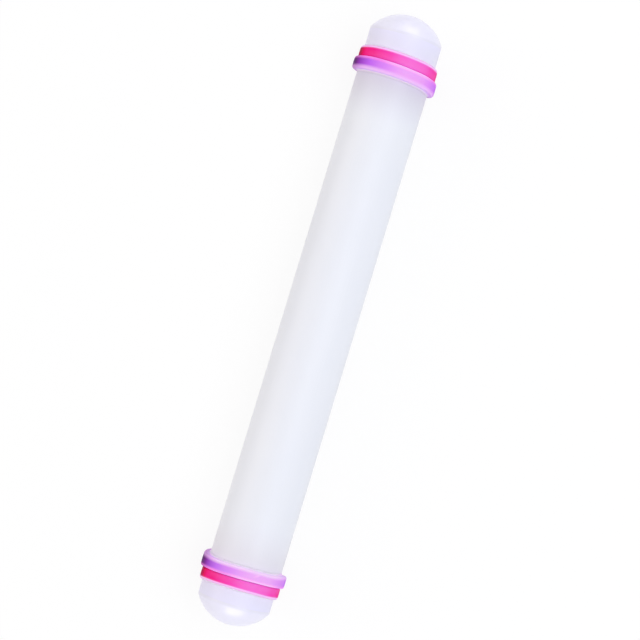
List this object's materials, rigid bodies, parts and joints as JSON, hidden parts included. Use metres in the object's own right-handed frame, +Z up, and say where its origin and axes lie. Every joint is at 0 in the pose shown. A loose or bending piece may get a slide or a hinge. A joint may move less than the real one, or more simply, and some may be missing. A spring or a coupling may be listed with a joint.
{
  "type": "fondant rolling pin",
  "caption": "Slim smooth hollow roller with domed end plugs, and a thick and a thin elastic guide ring near each end that set the rolled thickness.",
  "frame": {"origin": "on the table under the middle of the pin, which lies on its two thick rings", "axes": "+X along the pin towards its right end, +Z up, +Y across the pin towards the back"},
  "size_m": [0.2286, 0.0312, 0.0312],
  "materials": {
    "barrel_polyethylene": "satin, slightly translucent bluish white, extruded",
    "plug_polyethylene": "satin, slightly translucent bluish white, moulded",
    "purple_silicone": "soft satin, translucent at the edges",
    "pink_silicone": "soft satin, translucent at the edges"
  },
  "bodies": {
    "roller": {"barrel_tube": "barrel_polyethylene", "end_plug_right": "plug_polyethylene", "end_plug_left": "plug_polyethylene"},
    "right_thick": {"thick_ring_right": "purple_silicone"},
    "right_thin": {"thin_ring_right": "pink_silicone"},
    "left_thick": {"thick_ring_left": "purple_silicone"},
    "left_thin": {"thin_ring_left": "pink_silicone"}
  },
  "joints": [
    {"name": "right_thick_ring_slide", "type": "slide", "parent": "roller", "child": "right_thick", "axis": [1, 0, 0], "range_m": [-0.087, 0.028]},
    {"name": "right_thin_ring_slide", "type": "slide", "parent": "right_thick", "child": "right_thin", "axis": [1, 0, 0], "range_m": [0, 0.024]},
    {"name": "left_thick_ring_slide", "type": "slide", "parent": "roller", "child": "left_thick", "axis": [-1, 0, 0], "range_m": [-0.09, 0.026]},
    {"name": "left_thin_ring_slide", "type": "slide", "parent": "left_thick", "child": "left_thin", "axis": [-1, 0, 0], "range_m": [0, 0.022]}
  ]
}
